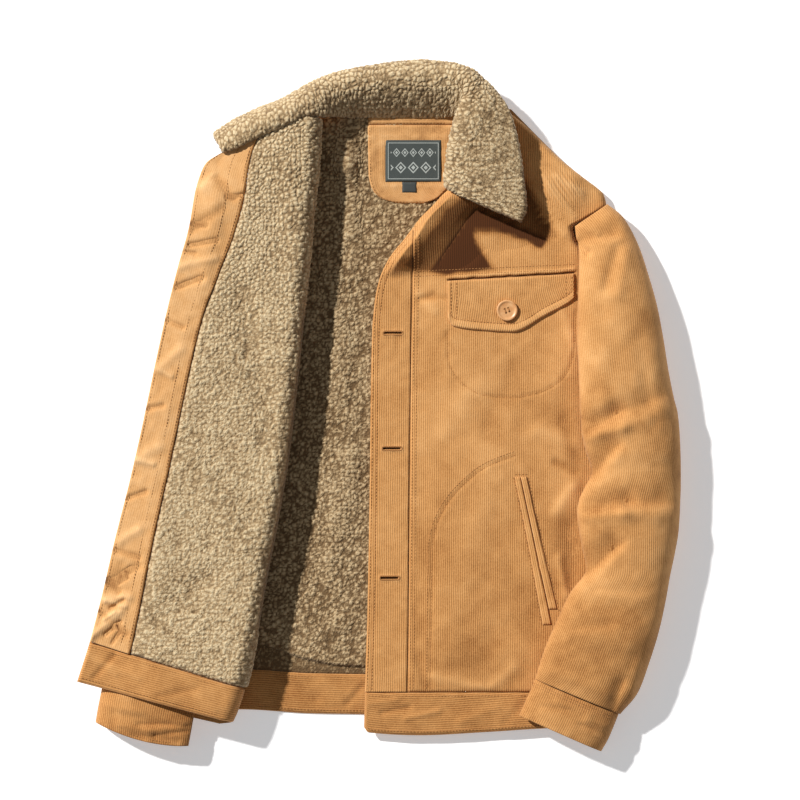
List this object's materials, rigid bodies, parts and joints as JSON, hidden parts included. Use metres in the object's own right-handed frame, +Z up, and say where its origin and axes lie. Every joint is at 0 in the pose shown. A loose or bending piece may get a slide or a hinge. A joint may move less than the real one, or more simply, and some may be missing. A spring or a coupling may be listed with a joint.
{
  "type": "sherpa lined jacket",
  "caption": "Corduroy jacket lined with curly pile, laid flat: left front closed over the back, right front folded back, sleeves along the sides, pile collar, chest flap pocket",
  "frame": {"origin": "centre of the base rectangle of the bounding box, on the surface the garment lies on", "axes": "+Z up from the surface, +Y from the hem to the collar, +X to the wearer's left"},
  "size_m": [0.6635, 0.7626, 0.0565],
  "materials": {
    "corduroy": "matt ribbed",
    "corduroy_inner": "matt ribbed",
    "sherpa": "curly pile",
    "label": "woven satin",
    "button": "satin"
  },
  "bodies": {
    "root": {"back": "corduroy", "back_lining": "sherpa", "hem_band_back": "corduroy", "neck_patch": "corduroy_inner", "neck_tape": "corduroy_inner", "neck_label": "label", "size_tag": "label", "front_left": "corduroy", "front_left_lining": "sherpa", "facing_left": "corduroy_inner", "placket_left": "corduroy", "hem_band_left": "corduroy", "chest_flap_left": "corduroy", "chest_button": "button", "welt_left_front": "corduroy", "welt_left_side": "corduroy", "sleeve_left": "corduroy", "cuff_left": "corduroy", "front_right": "corduroy", "front_right_lining": "sherpa", "facing_right": "corduroy_inner", "placket_right": "corduroy", "hem_band_right": "corduroy", "button_1": "button", "button_2": "button", "button_3": "button", "sleeve_right": "corduroy", "cuff_right": "corduroy", "collar_top": "sherpa", "collar_under": "corduroy"}
  },
  "joints": []
}
